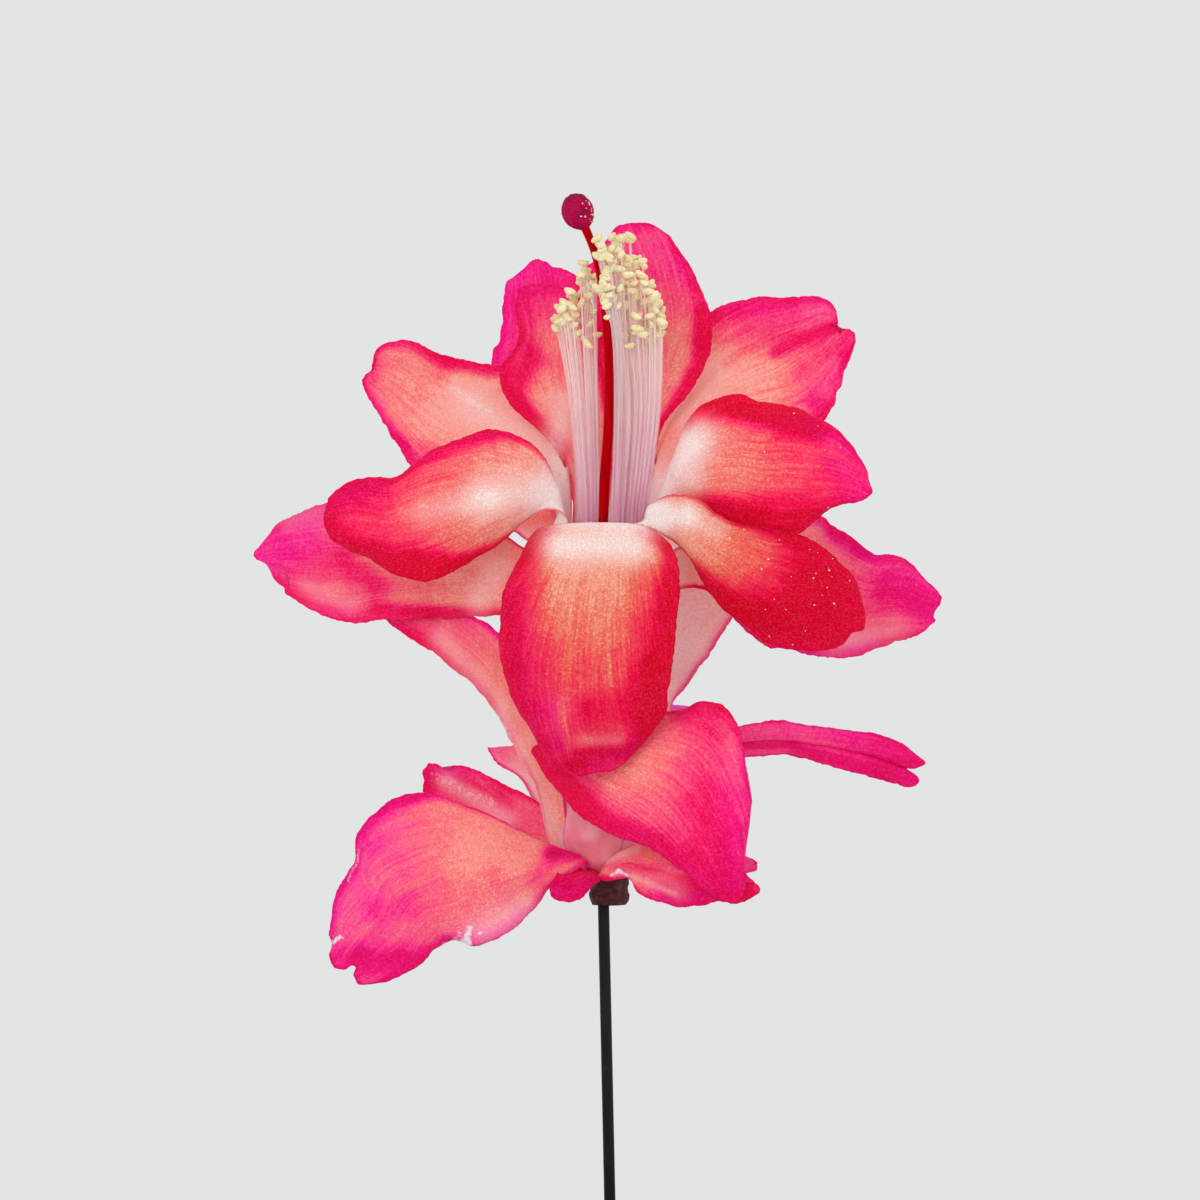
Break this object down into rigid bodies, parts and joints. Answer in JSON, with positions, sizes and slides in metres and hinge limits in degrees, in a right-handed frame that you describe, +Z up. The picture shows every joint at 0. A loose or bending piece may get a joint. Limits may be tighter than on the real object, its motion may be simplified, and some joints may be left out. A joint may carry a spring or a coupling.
{
  "type": "christmas cactus flower on a rod in a pot",
  "caption": "Open Christmas cactus flower, upright on a thin dark rod that stands in the potting soil of a small plain terracotta pot.",
  "frame": {"origin": "centre of the pot's flat underside", "axes": "+Z up along the pot's axis, the flower faces -Y, +X to the right of someone who looks at its face"},
  "size_m": [0.0746, 0.062, 0.1645],
  "materials": {
    "terracotta": "unglazed fired clay, matte",
    "potting_soil": "crumbly dark potting soil",
    "dark_rod": "near-black, half matte",
    "ovary_skin": "dark brown plant skin",
    "pale_tube": "pale pink translucent plant tissue with thin magenta lines",
    "style_red": "dark red, smooth, with a velvety magenta crimson head",
    "filament_and_anther": "translucent white filaments and powdery pale yellow anthers",
    "petal": "translucent petal, pale at its foot, coral in the middle and crimson at the margin",
    "petal_magenta": "translucent petal, coral at its foot and magenta pink at the margin"
  },
  "bodies": {
    "root": {"pot": "terracotta", "soil": "potting_soil", "rod": "dark_rod", "ovary": "ovary_skin", "floral_tube": "pale_tube", "style_and_stigma": "style_red", "stamens": "filament_and_anther", "petal_front": "petal", "petal_left": "petal", "petal_lower_right": "petal", "petal_right": "petal", "petal_rear_right": "petal", "petal_rear_left": "petal", "petal_upper_left": "petal", "petal_upper_right": "petal", "petal_mid_front": "petal", "petal_outer_left": "petal_magenta", "petal_outer_right": "petal_magenta", "petal_mid_left": "petal_magenta", "petal_mid_right": "petal_magenta", "petal_low_left": "petal_magenta", "petal_low_right": "petal_magenta", "petal_low_front": "petal_magenta", "petal_far_right": "petal_magenta", "petal_low_back_left": "petal_magenta", "petal_rear_outer": "petal_magenta", "petal_mid_back": "petal_magenta", "petal_low_back": "petal_magenta", "petal_back_left": "petal_magenta", "petal_back_right": "petal_magenta", "petal_low_back_right": "petal_magenta"}
  },
  "joints": []
}
